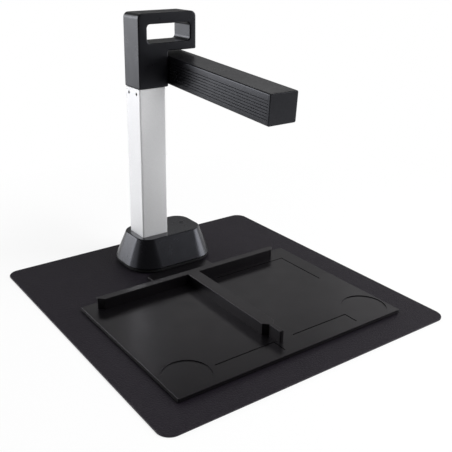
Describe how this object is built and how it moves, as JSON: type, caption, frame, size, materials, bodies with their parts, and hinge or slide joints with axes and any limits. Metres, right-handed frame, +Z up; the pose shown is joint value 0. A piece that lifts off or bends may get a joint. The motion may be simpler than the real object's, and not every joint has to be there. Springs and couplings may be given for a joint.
{
  "type": "overhead document scanner",
  "caption": "Desktop document scanner: camera arm folding beside a column on a weighted base, with a handle head, a desk mat and a loose document tray.",
  "frame": {"origin": "middle of the desk mat's underside, on the desk", "axes": "+Z up, +X along the mat's back edge to the user's right, -Y towards the user"},
  "size_m": [0.365, 0.377, 0.3168],
  "materials": {
    "mat": "matte, fine grain",
    "tray": "fine texture",
    "black_shell": "satin",
    "black_matte": "matte",
    "silver": "satin anodised",
    "steel": "bright",
    "dark_steel": "blackened",
    "cast_alloy": "as cast",
    "rubber": "matte",
    "board": "solder mask",
    "glass": "clear",
    "diffuser": "opal",
    "jacket": "smooth"
  },
  "bodies": {
    "mat": {"desk_mat": "mat"},
    "tray": {"document_tray": "tray", "tray_pad_1": "rubber", "tray_pad_2": "rubber", "tray_pad_3": "rubber", "tray_pad_4": "rubber"},
    "stand": {"base_shell": "black_shell", "base_plate": "black_matte", "base_foot_1": "rubber", "base_foot_2": "rubber", "base_foot_3": "rubber", "base_foot_4": "rubber", "base_screw_1": "dark_steel", "base_screw_2": "dark_steel", "base_screw_3": "dark_steel", "base_screw_4": "dark_steel", "base_weight": "steel", "main_board": "board", "board_screw_1": "steel", "board_screw_2": "steel", "usb_socket": "steel", "touch_key": "black_shell", "column_foot": "cast_alloy", "column_foot_screw_1": "steel", "column_foot_screw_2": "steel", "column": "silver", "column_screw_1": "dark_steel", "column_screw_2": "dark_steel", "column_cable": "jacket", "head_shell": "black_shell", "head_rear_cover": "black_shell", "head_screw_1": "dark_steel", "head_screw_2": "dark_steel", "head_screw_3": "dark_steel", "hinge_core": "cast_alloy"},
    "arm": {"hinge_pin": "steel", "friction_washer": "steel", "spring_washer_1": "steel", "spring_washer_2": "steel", "hinge_nut": "steel", "arm_hub": "cast_alloy", "arm_housing": "black_shell", "arm_end_cap": "black_shell", "arm_bottom_cover": "black_matte", "arm_screw_1": "dark_steel", "arm_screw_2": "dark_steel", "arm_screw_3": "dark_steel", "arm_screw_4": "dark_steel", "camera_board": "board", "lens_barrel": "black_matte", "lens": "glass", "camera_window": "glass", "lamp_board": "board", "lamp_diffuser_1": "diffuser", "lamp_diffuser_2": "diffuser", "arm_cable": "jacket"}
  },
  "joints": [
    {"name": "tray_lift", "type": "slide", "parent": "mat", "child": "tray", "axis": [0, 0, 1], "range_m": [0, 0.05]},
    {"name": "stand_lift", "type": "slide", "parent": "mat", "child": "stand", "axis": [0, 0, 1], "range_m": [0, 0.05]},
    {"name": "arm_fold", "type": "hinge", "parent": "stand", "child": "arm", "pos_m": [0.007, 0.124, 0.25], "axis": [1, 0, 0], "range_deg": [-4.2, 85.8]}
  ]
}
